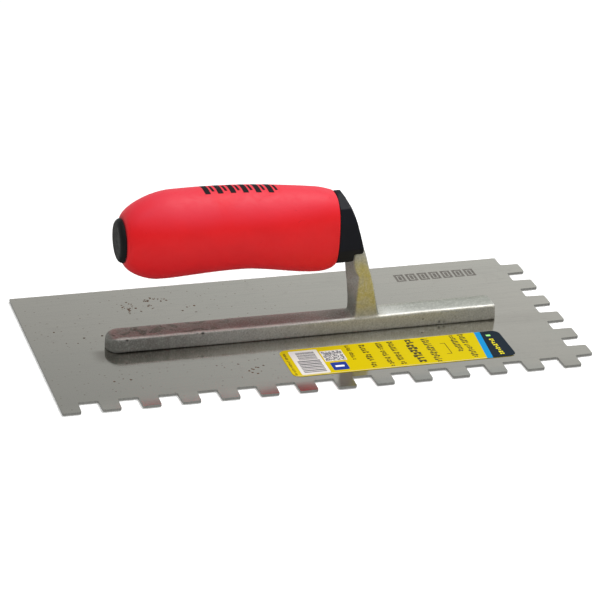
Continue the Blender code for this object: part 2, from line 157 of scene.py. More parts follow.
NOISE_ROUGHNESS = 0.55
FILM_ROUGHNESS = 0.32
ZINC_ROUGHNESS = 0.32


def map_range(tree, source, low, high, to_low, to_high):
    """Smooth step of a value from low to high, between to_low and to_high."""
    made = tree.nodes.new("ShaderNodeMapRange")
    made.interpolation_type = 'SMOOTHSTEP'
    for socket, value in zip(made.inputs[1:5], (low, high, to_low, to_high)):
        socket.default_value = value
    tree.links.new(source, made.inputs["Value"])
    return made.outputs["Result"]


class Finish:
    """A Principled material with procedural layers in object space (metres)."""

    def __init__(self, name, colour, roughness, metallic=0.0, **sockets):
        self.material = bpy.data.materials.new(name)
        self.material.use_nodes = True
        self.tree = self.material.node_tree
        self.shader = self.tree.nodes["Principled BSDF"]
        self.base = colour
        self.colour = None
        self.height = None
        self.shader.inputs["Base Color"].default_value = (*colour, 1.0)
        self.shader.inputs["Roughness"].default_value = roughness
        self.shader.inputs["Metallic"].default_value = metallic
        for socket, value in sockets.items():
            self.shader.inputs[socket.replace("_", " ")].default_value = value
        self.place = self.node("ShaderNodeTexCoord").outputs["Object"]

    def node(self, kind, **settings):
        made = self.tree.nodes.new(kind)
        for key, value in settings.items():
            setattr(made, key, value)
        return made

    def stretched(self, scale, turn=0.0):
        mapping = self.node("ShaderNodeMapping")
        mapping.inputs["Scale"].default_value = scale
        mapping.inputs["Rotation"].default_value = (0.0, 0.0, turn)
        self.tree.links.new(self.place, mapping.inputs["Vector"])
        return mapping.outputs["Vector"]

    def noise(self, scale, detail=4.0, distortion=0.0, place=None):
        made = self.node("ShaderNodeTexNoise")
        made.inputs["Scale"].default_value = scale
        made.inputs["Detail"].default_value = detail
        made.inputs["Roughness"].default_value = NOISE_ROUGHNESS
        made.inputs["Distortion"].default_value = distortion
        self.tree.links.new(place or self.place, made.inputs["Vector"])
        return made.outputs["Fac"]

    def cells(self, scale):
        made = self.node("ShaderNodeTexVoronoi")
        made.inputs["Scale"].default_value = scale
        self.tree.links.new(self.place, made.inputs["Vector"])
        return made.outputs["Distance"]

    def spread(self, source, low, high, to_low=0.0, to_high=1.0):
        return map_range(self.tree, source, low, high, to_low, to_high)

    def maths(self, operation, first, second):
        made = self.node("ShaderNodeMath", operation=operation)
        self.tree.links.new(first, made.inputs[0])
        self.tree.links.new(second, made.inputs[1])
        return made.outputs["Value"]

    def times(self, *masks):
        product = masks[0]
        for mask in masks[1:]:
            product = self.maths('MULTIPLY', product, mask)
        return product

    def plus(self, first, second):
        return self.maths('ADD', first, second)

    def along(self, axis):
        """The object coordinate X, Y or Z, in metres."""
        split = self.node("ShaderNodeSeparateXYZ")
        self.tree.links.new(self.place, split.inputs["Vector"])
        return split.outputs[axis]

    def tint(self, mask, colour):
        """Lay a colour over what is there, where the mask is high."""
        made = self.node("ShaderNodeMix", data_type='RGBA')
        self.tree.links.new(mask, made.inputs["Factor"])
        first, second = made.inputs[6], made.inputs[7]
        if self.colour is None:
            first.default_value = (*self.base, 1.0)
        else:
            self.tree.links.new(self.colour, first)
        second.default_value = (*colour, 1.0)
        self.colour = made.outputs[2]
        self.tree.links.new(self.colour, self.shader.inputs["Base Color"])

    def rough(self, source):
        self.tree.links.new(source, self.shader.inputs["Roughness"])

    def bump(self, source, depth):
        """Relief of the given depth in metres, on top of any laid before."""
        made = self.node("ShaderNodeBump")
        made.inputs["Distance"].default_value = depth
        self.tree.links.new(source, made.inputs["Height"])
        if self.height is not None:
            self.tree.links.new(self.height, made.inputs["Normal"])
        self.height = made.outputs["Normal"]
        self.tree.links.new(self.height, self.shader.inputs["Normal"])


def steel_finish():
    """Cold-rolled blade steel: brushed along its length, stained, specked, and darkened by painted shade in
    front of the bar.
    """
    steel = Finish("blade_steel", (0.69, 0.685, 0.64), 0.1, 1.0, Anisotropic=0.35, Anisotropic_Rotation=0.25)
    tangent = steel.node("ShaderNodeTangent", direction_type='UV_MAP')
    steel.tree.links.new(tangent.outputs["Tangent"], steel.shader.inputs["Tangent"])
    broad = steel.noise(14.0, 3.0, 0.6)
    streaks = steel.noise(1.0, 5.0, 0.2, steel.stretched((22.0, 900.0, 1.0)))
    blotches = steel.noise(55.0, 6.0, 1.6)
    film = steel.noise(90.0, 8.0, 2.2, steel.stretched((0.8, 1.6, 1.0), 0.5))
    steel.tint(steel.spread(broad, 0.4, 0.68, 0.0, 0.5), (0.73, 0.71, 0.66))
    steel.tint(steel.spread(streaks, 0.45, 0.75, 0.0, 0.2), (0.57, 0.57, 0.56))
    steel.tint(steel.spread(blotches, 0.58, 0.78, 0.0, 0.22), (0.58, 0.55, 0.53))
    steel.tint(steel.spread(film, 0.64, 0.74, 0.0, 0.25), (0.5, 0.45, 0.42))
    along, across = steel.along("X"), steel.along("Y")
    specks = steel.times(steel.spread(steel.cells(330.0), 0.2, 0.08),
                         steel.spread(film, 0.44, 0.56, 0.0, 0.75))
    steel.tint(steel.times(specks, steel.spread(along, 0.03, -0.03, 0.2, 1.0)), (0.38, 0.32, 0.26))
    # Painted shade: a darker band of steel just in front of the bar, standing in for its shadow there.
    painted_shade_before_bar = steel.times(steel.spread(across, -0.019, -0.01), steel.spread(across, -0.001, -0.005),
                         steel.spread(along, -0.114, -0.106), steel.spread(along, 0.09, -0.02, 0.15, 1.0))
    steel.tint(painted_shade_before_bar, (0.46, 0.445, 0.41))
    tips = steel.times(steel.spread(across, -0.057, -0.063), steel.spread(along, -0.122, -0.1),
                       steel.spread(along, 0.125, 0.09))
    steel.tint(steel.times(tips, steel.spread(blotches, 0.3, 0.6, 0.3, 0.7)), (0.6, 0.62, 0.6))
    haze = steel.plus(steel.spread(blotches, 0.45, 0.75, 0.09, 0.12),
                      steel.spread(streaks, 0.3, 0.7, 0.0, 0.03))
    haze = steel.plus(haze, steel.spread(across, -0.056, -0.064, 0.0, 0.06))
    steel.rough(haze)
    return steel.material


def sheared_finish():
    """Punched edges of the blade: dull and dark, with grooves left by the punch."""
    sheared = Finish("sheared_steel", (0.55, 0.55, 0.53), 0.5, 1.0)
    grooves = sheared.noise(1.0, 4.0, 0.1, sheared.stretched((2600.0, 2600.0, 250.0)))
    sheared.tint(sheared.spread(grooves, 0.4, 0.65, 0.0, 0.6), (0.36, 0.355, 0.34))
    sheared.rough(sheared.spread(grooves, 0.3, 0.7, 0.4, 0.6))
    sheared.bump(grooves, 0.00003)
    return sheared.material


def cast_finish():
    """Die-cast aluminium with a sandy, pored skin.

    It is darker at the bar's left front by painted shade, and brighter on top right of the post by a painted
    highlight. Left of the post the top has reddish painted shade with darker patches, and a painted yellow
    reflection of the label covers the post's front.
    """
    cast = Finish("cast_aluminium", (0.525, 0.525, 0.49), 0.58, 0.5)
    mottle = cast.noise(160.0, 6.0, 0.8)
    grain = cast.noise(1500.0, 4.0)
    pores = cast.cells(420.0)
    along, across, height = cast.along("X"), cast.along("Y"), cast.along("Z")
    cast.tint(cast.spread(mottle, 0.42, 0.7, 0.0, 0.5), (0.44, 0.43, 0.39))
    cast.tint(cast.spread(grain, 0.52, 0.72, 0.0, 0.55), (0.33, 0.325, 0.295))
    cast.tint(cast.spread(pores, 0.16, 0.06, 0.0, 0.5), (0.16, 0.155, 0.14))
    # Painted shade: the left part of the bar, below its top, is darkened.
    painted_shade_left_front = cast.times(cast.spread(along, -0.03, -0.085), cast.spread(height, 0.0088, 0.008))
    cast.tint(cast.times(painted_shade_left_front, cast.spread(mottle, 0.2, 0.7, 0.7, 0.95)), (0.25, 0.25, 0.23))
    # Painted reflection: a yellowish tint low on the bar's right half stands in for the yellow label
    # reflected there.
    cast.tint(cast.times(cast.spread(height, 0.012, 0.007, 0.0, 0.35), cast.spread(along, -0.02, 0.02)),
              (0.52, 0.475, 0.34))
    # Painted reflection: the yellow over the post's front stands in for the label reflected in it.
    film = cast.times(cast.spread(height, 0.008, 0.018), cast.spread(height, 0.047, 0.036),
                      cast.spread(across, -0.005, -0.006), cast.spread(mottle, 0.2, 0.7, 0.4, 0.95))
    cast.tint(film, (0.61, 0.53, 0.18))
    top = cast.times(cast.spread(height, 0.0078, 0.0086), cast.spread(height, 0.0115, 0.01))
    left_top = cast.times(top, cast.spread(along, 0.027, 0.02))
    right_top = cast.times(top, cast.spread(along, 0.038, 0.046))
    # Painted highlight: a bright band along the top right of the post, where the overhead light falls on it.
    painted_highlight_band = cast.times(cast.spread(across, 0.0045, 0.0015), cast.spread(across, -0.0068, -0.0054))
    cast.tint(cast.times(right_top, painted_highlight_band), (0.88, 0.88, 0.85))
    # Lighter front edge of the top left of the post: partly edge wear, partly a painted highlight.
    cast.tint(cast.times(left_top, cast.spread(across, -0.0045, -0.0062)), (0.66, 0.65, 0.62))
    nose = cast.times(cast.spread(along, -0.105, -0.11), cast.spread(height, 0.004, 0.0075))
    cast.tint(nose, (0.58, 0.57, 0.54))
    # Painted shade: the top left of the post is darkened and reddened where it lies under the red grip.
    painted_grip_shade = cast.times(left_top, cast.spread(along, -0.107, -0.099), cast.spread(across, -0.006, -0.0046))
    cast.tint(cast.times(painted_grip_shade, cast.spread(mottle, 0.25, 0.65, 0.7, 0.97)), (0.38, 0.235, 0.225))
    # Darker brown patches within that painted shade, stronger toward the left end.
    dark_patches = cast.noise(90.0, 6.0, 1.5)
    dark_patches = cast.times(painted_grip_shade, cast.spread(dark_patches, 0.53, 0.6), cast.spread(along, -0.02, -0.06, 0.35, 0.9))
    cast.tint(dark_patches, (0.16, 0.13, 0.11))
    # Painted shade: darker still next to the post, in the corner under the grip.
    corner = cast.times(painted_grip_shade, cast.spread(along, 0.004, 0.017, 0.0, 0.7))
    cast.tint(corner, (0.2, 0.165, 0.15))
    foot = cast.times(cast.spread(height, 0.026, 0.013, 0.0, 0.85), cast.spread(height, 0.0086, 0.0096),
                      cast.spread(across, -0.0062, -0.0052))
    cast.tint(foot, (0.235, 0.25, 0.215))
    sand = cast.noise(1100.0, 2.0)
    cast.tint(cast.spread(sand, 0.51, 0.66, 0.0, 0.22), (0.17, 0.165, 0.15))
    cast.tint(cast.spread(sand, 0.49, 0.34, 0.0, 0.18), (0.84, 0.83, 0.78))
    pits = cast.node("ShaderNodeAttribute", attribute_name=PIT_LAYER)
    cast.tint(cast.spread(pits.outputs["Fac"], 0.05, 0.6), (0.035, 0.032, 0.028))
    cast.rough(cast.spread(mottle, 0.3, 0.75, 0.52, 0.64))
    cast.bump(grain, 0.00013)
    cast.bump(cast.noise(420.0, 3.0), 0.0002)
    return cast.material


def red_finish():
    """Soft-touch rubber: matt, fine-grained, with handling marks and a paler, pinker top that is painted
    sheen.
    """
    red = Finish("soft_red", (0.73, 0.007, 0.0105), 0.6, 0.0, Specular_IOR_Level=0.26, Sheen_Weight=0.18,
                 Sheen_Roughness=0.4, Sheen_Tint=(1.0, 0.5, 0.62, 1.0))
    broad = red.noise(28.0, 4.0, 0.8)
    marks = red.noise(120.0, 7.0, 2.5)
    red.tint(red.spread(broad, 0.4, 0.7, 0.0, 0.35), (0.61, 0.005, 0.009))
    # Painted sheen: the grip's top is paler and pinker toward its highest part, where the overhead light
    # falls.
    painted_top_sheen = red.times(red.spread(red.along("Z"), 0.068, 0.08), red.spread(broad, 0.3, 0.6, 0.6, 1.0))
    red.tint(painted_top_sheen, (0.68, 0.034, 0.056))
    red.tint(red.spread(marks, 0.66, 0.78, 0.0, 0.5), (0.28, 0.006, 0.011))
    red.rough(red.spread(marks, 0.35, 0.75, 0.52, 0.66))
    red.bump(red.noise(2600.0, 2.0), 0.00003)
    red.bump(red.noise(70.0, 2.0), 0.00012)
    return red.material


def black_finish(name, colour, roughness, grain_depth, specular):
    """Moulded black plastic with a fine eroded grain and light scuffs."""
    black = Finish(name, colour, roughness, 0.0, Specular_IOR_Level=specular)
    scuffs = black.noise(240.0, 8.0, 2.0, black.stretched((1.0, 1.0, 2.5), 0.4))
    black.tint(black.spread(scuffs, 0.62, 0.78, 0.0, 0.4), tuple(2.0 * c + 0.004 for c in colour))
    black.rough(black.spread(scuffs, 0.4, 0.7, roughness - 0.05, roughness + 0.12))
    black.bump(black.noise(2200.0, 3.0), grain_depth)
    return black.material


def zinc_finish(name, colour):
    """Plated fastener steel with fine turning marks."""
    zinc = Finish(name, colour, ZINC_ROUGHNESS, 1.0)
    mottle = zinc.noise(700.0, 5.0)
    zinc.tint(zinc.spread(mottle, 0.45, 0.7, 0.0, 0.6), tuple(0.7 * c for c in colour))
    zinc.rough(zinc.spread(mottle, 0.3, 0.7, 0.26, 0.42))
    zinc.bump(mottle, 0.00002)
    return zinc.material


def film_finish(name, colour):
    """Printed film: faint ripples and rubbed ink."""
    film = Finish(name, colour, FILM_ROUGHNESS, 0.0, Specular_IOR_Level=0.03)
    rub = film.noise(420.0, 6.0, 1.2)
    film.tint(film.spread(rub, 0.6, 0.8, 0.0, 0.3), tuple(0.85 * c + 0.01 for c in colour))
    film.rough(film.spread(rub, 0.35, 0.7, FILM_ROUGHNESS - 0.04, FILM_ROUGHNESS + 0.1))
    film.bump(film.noise(45.0, 2.0), 0.00012)
    return film.material


def rust_finish():
    """Dark crusted rust."""
    rust = Finish("rust_brown", (0.055, 0.032, 0.018), 0.85)
    crust = rust.noise(3000.0, 5.0)
    rust.tint(rust.spread(crust, 0.4, 0.65), (0.12, 0.075, 0.045))
    rust.bump(crust, 0.00004)
    return rust.material


def ink_finish(name, colour):
    """Matt ink on rubber, worn pale in places."""
    ink = Finish(name, colour, 0.6, Specular_IOR_Level=0.1)
    worn = ink.noise(900.0, 6.0, 0.5)
    ink.tint(ink.spread(worn, 0.58, 0.75, 0.0, 0.5), tuple(0.6 * c + 0.06 for c in colour))
    ink.bump(worn, 0.00001)
    return ink.material


# -------- mesh helpers

def add_object(name, data):
    obj = bpy.data.objects.new(name, data)
    bpy.context.scene.collection.objects.link(obj)
    return obj


def keep(obj, material, replaced=()):
    """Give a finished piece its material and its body."""
    obj.data.materials.clear()
    obj.data.materials.append(material)
    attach(obj, "root")
    if replaced:
        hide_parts(*replaced)
    return obj


def add_mesh(name, bm, smooth_angle=35.0):
    """Turn a bmesh in millimetres into an object in metres."""
    bmesh.ops.scale(bm, vec=(MM, MM, MM), verts=bm.verts)
    bmesh.ops.recalc_face_normals(bm, faces=bm.faces)
    mesh = bpy.data.meshes.new(name)
    bm.to_mesh(mesh)
    bm.free()
    mesh.shade_smooth()
    mesh.set_sharp_from_angle(angle=math.radians(smooth_angle))
    return add_object(name, mesh)


def settle(obj):
    """Apply an object's modifiers to its mesh."""
    bpy.context.view_layer.update()
    graph = bpy.context.evaluated_depsgraph_get()
    mesh = bpy.data.meshes.new_from_object(obj.evaluated_get(graph))
    obj.modifiers.clear()
    obj.data = mesh
    return obj


def skin(bm, rings, closed=False):
    """Faces over a row of rings: capped at both ends, or joined from the last ring to the first."""
    rows = [[bm.verts.new(point) for point in ring] for ring in rings]
    count = len(rows[0])
    pairs = list(zip(rows, rows[1:]))
    if closed:
        pairs.append((rows[-1], rows[0]))
    for near, far in pairs:
        for i in range(count):
            j = (i + 1) % count
            bm.faces.new((near[i], near[j], far[j], far[i]))
    if not closed:
        bm.faces.new(list(reversed(rows[0])))
        bm.faces.new(rows[-1])


def slab(bm, outline, low, high):
    """Add a thin closed prism with the given outline to a bmesh."""
    skin(bm, [[(x, y, z) for x, y in outline] for z in (low, high)])


def loft(rings, closed=False):
    bm = bmesh.new()
    skin(bm, rings, closed)
    return bm


def fillet(points, radii, steps=4):
    """Round the corners of a closed 2D outline."""
    outline = []
    count = len(points)
    for i, corner in enumerate(points):
        corner = Vector(corner)
        radius = radii[i] if isinstance(radii, (list, tuple)) else radii
        if radius <= 0.0:
            outline.append(corner)
            continue
        before = (Vector(points[i - 1]) - corner).normalized()
        after = (Vector(points[(i + 1) % count]) - corner).normalized()
        half = before.angle(after) / 2.0
        reach = radius / math.tan(half)
        centre = corner + (before + after).normalized() * (radius / math.sin(half))
        start = corner + before * reach - centre
        turn = math.pi - 2.0 * half
        if before.x * after.y - before.y * after.x > 0.0:
            turn = -turn
        for k in range(steps + 1):
            angle = turn * k / steps
            cos_a, sin_a = math.cos(angle), math.sin(angle)
            spoke = Vector((start.x * cos_a - start.y * sin_a, start.x * sin_a + start.y * cos_a))
            outline.append(centre + spoke)
    return outline


def smoothstep(t):
    """0 below 0, 1 above 1, and a smooth rise between."""
    t = min(1.0, max(0.0, t))
    return t * t * (3.0 - 2.0 * t)


# -------- blade

def blade_outline():
    """Front edge from left to right, up the notched end, then back along the plain edges."""
    taper = (TOOTH_ROOT - TOOTH_TIP) / 2.0
    points = []
    radii = []
    for i in range(FRONT_TEETH):
        start = BLADE_LOW.x + i * NOTCH_PITCH
        if i > 0:
            points.append((start - taper, BLADE_LOW.y + NOTCH_DEPTH))
            radii.append(CORNER_RADIUS)
        points.append((start, BLADE_LOW.y))
        points.append((start + TOOTH_TIP, BLADE_LOW.y))
        points.append((start + TOOTH_TIP + taper, BLADE_LOW.y + NOTCH_DEPTH))
        radii += [CORNER_RADIUS, CORNER_RADIUS, CORNER_RADIUS]
    end_taper = (END_TOOTH_ROOT - END_TOOTH_TIP) / 2.0
    root = BLADE_HIGH.x - NOTCH_DEPTH
    for i in range(END_TEETH):
        low = BLADE_LOW.y + NOTCH_DEPTH + END_TEETH_START + i * NOTCH_PITCH
        if i > 0:
            points.append((root, low - end_taper))
            radii.append(CORNER_RADIUS)
        points.append((BLADE_HIGH.x, low))
        points.append((BLADE_HIGH.x, low + END_TOOTH_TIP))
        points.append((root, low + END_TOOTH_TIP + end_taper))
        radii += [CORNER_RADIUS, CORNER_RADIUS, CORNER_RADIUS]
    points += [(root, BLADE_HIGH.y), (BLADE_LOW.x, BLADE_HIGH.y)]
    radii += [PLAIN_CORNER_RADIUS, PLAIN_CORNER_RADIUS]
    return fillet(points, radii, 5)


def cut_grid(bm, axis, low, high, step):
    """Score the mesh with parallel planes so that it can bend."""
    normal = Vector((0.0, 0.0, 0.0))
    normal[axis] = 1.0
    place = low + step * 0.5
    while place < high:
        geometry = bm.verts[:] + bm.edges[:] + bm.faces[:]
        bmesh.ops.bisect_plane(bm, geom=geometry, dist=0.0001, plane_co=normal * place, plane_no=normal)
        place += step


def tooth_tilts():
    """Angle in degrees by which each front tooth and end tooth droops at its tip."""
    rng = random.Random(11)
    front = [rng.uniform(-TOOTH_TILT_SPREAD, TOOTH_TILT_SPREAD) for _ in range(FRONT_TEETH)]
    end = [rng.uniform(-TOOTH_TILT_SPREAD, TOOTH_TILT_SPREAD) for _ in range(END_TEETH)]
    for i, tilt in BENT_TEETH.items():
        front[i] = tilt
    return front, end


def droop(tilt, out):
    """How far a tooth of the given tilt hangs down at a share of its length, in millimetres."""
    return NOTCH_DEPTH / 2.0 * math.tan(math.radians(tilt)) * out ** 2


def bend_teeth(bm):
    """Bend each tooth down (or up, when its tilt is negative) toward its tip."""
    front, end = tooth_tilts()
    for vert in bm.verts:
        x, y, _ = vert.co
        out = (BLADE_LOW.y + NOTCH_DEPTH - y) / NOTCH_DEPTH
        if out > 0.0:
            i = int((x - BLADE_LOW.x + TOOTH_MARGIN) // NOTCH_PITCH)
            vert.co.z -= droop(front[min(i, FRONT_TEETH - 1)], out)
        out = (x - BLADE_HIGH.x + NOTCH_DEPTH) / NOTCH_DEPTH
        if out > 0.0:
            i = int((y - BLADE_LOW.y - NOTCH_DEPTH + TOOTH_MARGIN) // NOTCH_PITCH)
            vert.co.z -= droop(end[max(0, min(i, END_TEETH - 1))], out)


def rivet_places():
    first = -RIVET_PITCH * (RIVET_COUNT - 1) / 2.0
    return [first + RIVET_PITCH * i for i in range(RIVET_COUNT)]


def countersinks():
    """Cones that open the blade for its rivets, from just below it to just above."""
    slope = (SINK_LOW_RADIUS - SINK_TOP_RADIUS) / THICK
    over = THICK / 2.0
    bm = bmesh.new()
    for x in rivet_places():
        cone = bmesh.ops.create_cone(bm, cap_ends=True, segments=48, radius1=SINK_LOW_RADIUS + over * slope,
                                     radius2=SINK_TOP_RADIUS - over * slope, depth=THICK + 2.0 * over)
        bmesh.ops.translate(bm, verts=cone["verts"], vec=(x, 0.0, THICK / 2.0))
    return add_mesh("countersinks", bm)


def build_blade(material, edge_material):
    """Notched sheet with countersunk rivet holes, softened edges and brushing along its length."""
    bm = bmesh.new()
    slab(bm, blade_outline(), 0.0, THICK)
    cut_grid(bm, 0, BLADE_LOW.x, BLADE_HIGH.x, BLADE_GRID)
    cut_grid(bm, 1, BLADE_LOW.y, BLADE_HIGH.y, BLADE_GRID)
    bend_teeth(bm)
    blade = add_mesh("steel_blade", bm)
    sinks = countersinks()
    holes = blade.modifiers.new("countersinks", 'BOOLEAN')
    holes.object = sinks
    edge = blade.modifiers.new("edge", 'BEVEL')
    edge.width = BLADE_EDGE * MM
    edge.segments = 2
    edge.angle_limit = math.radians(40.0)
    edge.harden_normals = True
    settle(blade)
    bpy.data.objects.remove(sinks)
    uv = blade.data.uv_layers.new(name="length_and_width")
    places = np.zeros(len(blade.data.vertices) * 3)
    blade.data.vertices.foreach_get("co", places)
    corners = np.zeros(len(blade.data.loops), int)
    blade.data.loops.foreach_get("vertex_index", corners)
    uv.data.foreach_set("uv", places.reshape(-1, 3)[corners, :2].ravel() * 3.0 + 0.5)
    keep(blade, material, ["blade"])
    blade.data.materials.append(edge_material)
    for face in blade.data.polygons:
        face.material_index = 0 if abs(face.normal.z) > EDGE_SLOPE else 1
    return blade


# Centre, reach and number of spots of each cluster; height and share of the radius of a spot's rings
RUST_CLUSTERS = [
    (-82.0, 46.0, 3.6, 10), (-79.5, 38.5, 4.0, 13), (-70.0, 51.0, 3.0, 8), (-67.5, 50.0, 3.4, 8),
    (-61.5, 49.0, 2.6, 6), (-69.0, 42.0, 3.0, 5), (-50.0, 36.0, 7.0, 5), (-110.0, 20.0, 18.0, 5),
    (-35.0, -39.0, 4.0, 9), (-45.0, -24.0, 22.0, 7), (-103.0, -42.0, 9.0, 4),
]
RUST_SIDES = 9
RUST_RADII = (0.35, 0.8)
RUST_RINGS = ((-0.02, 1.0), (0.012, 0.9), (0.03, 0.45))


def build_rust(material):
    """Small irregular spots of rust standing a hair above the blade."""
    rng = random.Random(5)
    bm = bmesh.new()
    for x, y, reach, count in RUST_CLUSTERS:
        for _ in range(count):
            angle = rng.uniform(0.0, 2.0 * math.pi)
            away = reach * math.sqrt(rng.uniform(0.1, 1.0))
            centre = (x + away * math.cos(angle), y + away * math.sin(angle))
            radius = rng.uniform(*RUST_RADII)
            rings = []
            shape = [rng.uniform(0.65, 1.25) for _ in range(RUST_SIDES)]
            for height, share in RUST_RINGS:
                ring = []
                for k, ragged in enumerate(shape):
                    turn = 2.0 * math.pi * k / RUST_SIDES
                    ring.append((centre[0] + radius * share * ragged * math.cos(turn),
                                 centre[1] + radius * share * ragged * math.sin(turn),
                                 THICK + height))
                rings.append(ring)
            skin(bm, rings)
    return keep(add_mesh("rust_spots", bm, 60.0), material)


def bar(x, y, length, width):
    """Corners of an upright bar from (x, y)."""
    return [(x, y), (x + width, y), (x + width, y + length), (x, y + length)]


ETCH_X = 67.5
ETCH_Y = 46.0
ETCH_HEIGHT = 8.6
ETCH_WIDTH = 5.4
ETCH_BLOCKS = 7
ETCH_STEP = 6.6
ETCH_LINE = 1.3
ETCH_GAP = 0.6
ETCH_SINK = 0.01
ETCH_RISE = 0.004


def etch(bm, outline):
    slab(bm, outline, THICK - ETCH_SINK, THICK + ETCH_RISE)


def etched_frame(bm, x, y, length, width, line):
    """A closed frame of etched lines."""
    sides = [
        bar(x, y, length, line),
        bar(x + width - line, y, length, line),
        bar(x + line, y, line, width - 2.0 * line),
        bar(x + line, y + length - line, line, width - 2.0 * line),
    ]
    for side in sides:
        etch(bm, side)


def build_etched_mark(material):
    """A plain row of equal etched frames, near the notched end."""
    bm = bmesh.new()
    for i in range(ETCH_BLOCKS):
        x = ETCH_X + i * ETCH_STEP
        etched_frame(bm, x, ETCH_Y, ETCH_HEIGHT, ETCH_WIDTH, ETCH_LINE)
        inset = ETCH_LINE + ETCH_GAP
        etch(bm, bar(x + inset, ETCH_Y + inset, ETCH_HEIGHT - 2.0 * inset, ETCH_WIDTH - 2.0 * inset))
    return keep(add_mesh("etched_mark", bm), material)


# -------- cast mounting and handle core

BAR_TOP = 9.1
BAR_HALF_WIDTH = 7.1
BAR_CREST = 2.0
BAR_FRONT_FALL = 0.35
BAR_BACK_FALL = 0.6
BAR_SHOULDER = 0.2
SHOULDER_FROM = 5.6
BAR_DRAFT = 0.7
BAR_RISE = 0.45
SEAT = 0.27
UNDERCUT = 0.3
UNDERCUT_HEIGHT = 1.8
UNDERCUT_REACH = 1.4
UNDERCUT_WORN = 0.85
NOSE_DROP = 2.0
NOSE_LENGTH = 8.0
FOOT_X = 32.4
FOOT_HALF_LENGTH = 7.5
FOOT_FLARE_LEFT = 0.8
FOOT_FLARE_RIGHT = 0.4
FOOT_HEIGHT = 6.5
VOXEL = 0.4
PIT_LAYER = "pit"
# Place, radius and depth of each pit
PITS = [
    (-94.0, -6.9, 8.1, 1.3, 0.5), (-54.5, -6.9, 8.4, 1.6, 0.55), (-57.5, -7.0, 8.5, 0.9, 0.4),
    (63.5, -7.1, 5.0, 1.0, 0.4), (72.5, -7.3, 2.6, 1.4, 0.4), (75.0, -7.3, 2.4, 1.2, 0.35),
    (-74.0, 3.0, 9.1, 1.6, 0.3), (-88.0, 2.0, 9.1, 1.8, 0.3), (-20.0, 1.0, 9.1, 1.2, 0.25),
    (8.0, -3.0, 9.1, 1.2, 0.25), (52.0, 3.0, 9.4, 1.5, 0.25), (60.0, 0.5, 9.4, 1.3, 0.2),
    (37.0, -6.0, 20.0, 0.8, 0.25), (33.0, -6.0, 33.0, 0.7, 0.2),
]


def remeshed(name, node, rounds):
    """A fine even copy of a CAD node's surface, its edges softened by some rounds of smoothing."""
    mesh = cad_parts[node].data.copy()
    mesh.name = name
    obj = add_object(name, mesh)
    even = obj.modifiers.new("even", 'REMESH')
    even.mode = 'VOXEL'
    even.voxel_size = VOXEL * MM
    soften = obj.modifiers.new("soften", 'SMOOTH')
    soften.factor = 0.5
    soften.iterations = rounds
    settle(obj)
    obj.data.shade_smooth()
    return obj


def displace(obj, depth_at):
    """Move each point along its normal by depth_at(point in mm), in millimetres."""
    mesh = obj.data
    count = len(mesh.vertices)
    places = np.zeros(count * 3)
    normals = np.zeros(count * 3)
    mesh.vertices.foreach_get("co", places)
    mesh.vertices.foreach_get("normal", normals)
    places = places.reshape(-1, 3)
    normals = normals.reshape(-1, 3)
    depths = np.array([depth_at(Vector(place) / MM) for place in places])
    mesh.vertices.foreach_set("co", (places + normals * depths[:, None] * MM).ravel())
    mesh.update()


def bar_drop(point):
    """How far the bar's top is lowered: a lopsided arch, soft shoulders and a domed left end.

    It is raised a little toward the right end. The bar's lower half and the post stay as they are.
    """
    if point.y < BAR_CREST:
        drop = BAR_FRONT_FALL * ((BAR_CREST - point.y) / (BAR_CREST + BAR_HALF_WIDTH)) ** 2
    else:
        drop = BAR_BACK_FALL * ((point.y - BAR_CREST) / (BAR_HALF_WIDTH - BAR_CREST)) ** 2
    drop += BAR_SHOULDER * max(0.0, (abs(point.y) - SHOULDER_FROM) / (BAR_HALF_WIDTH - SHOULDER_FROM)) ** 2
    drop += NOSE_DROP * max(0.0, 1.0 - (point.x - MOUNT_LOW.x) / NOSE_LENGTH) ** 2
    drop -= BAR_RISE * smoothstep((point.x - 20.0) / 60.0)
    rising = smoothstep((point.z - BAR_TOP / 2.0) / (BAR_TOP / 2.0))
    return drop * rising * smoothstep((BAR_TOP + 2.5 - point.z) / 2.0)


def foot_shift(point):
    """Move along the bar that flares the foot of the post, dying out beside and below it."""
    place = (point.x - FOOT_X) / FOOT_HALF_LENGTH
    rise = point.z - BAR_TOP
    widest = FOOT_FLARE_LEFT if place < 0.0 else FOOT_FLARE_RIGHT
    if rise >= FOOT_HEIGHT:
        return 0.0
    if rise > 0.0:
        flare = widest * (1.0 - math.sqrt(1.0 - (1.0 - rise / FOOT_HEIGHT) ** 2))
    else:
        flare = widest * max(0.0, 1.0 + rise / 3.0)
    if abs(place) <= 1.0:
        return flare * place
    beyond = (abs(place) - 1.0) * FOOT_HALF_LENGTH
    return math.copysign(flare * max(0.0, 1.0 - beyond / (2.0 * widest)), place)


def seat(point):
    """Settle the bar on the blade, less an uneven lift of its rim that leaves a dark seam near its ends."""
    rim = smoothstep((abs(point.y) - BAR_HALF_WIDTH + UNDERCUT_REACH) / UNDERCUT_REACH)
    low = 1.0 - smoothstep((point.z - MOUNT_LOW.z) / UNDERCUT_HEIGHT)
    worn = 1.0 - UNDERCUT_WORN * smoothstep((point.x + 100.0) / 70.0) * smoothstep((98.0 - point.x) / 16.0)
    lift = UNDERCUT * rim * worn * (1.0 + 0.6 * noise.noise(Vector((point.x * 0.2, 0.0, 0.0))))
    return low * (lift - SEAT)


def bar_draft(point):
    """Outward lean of the bar's long sides, widest at the blade."""
    side = smoothstep((abs(point.y) - 2.0) / (BAR_HALF_WIDTH - 2.0))
    return math.copysign(BAR_DRAFT * side * max(0.0, 1.0 - (point.z - THICK) / (BAR_TOP - THICK)), point.y)


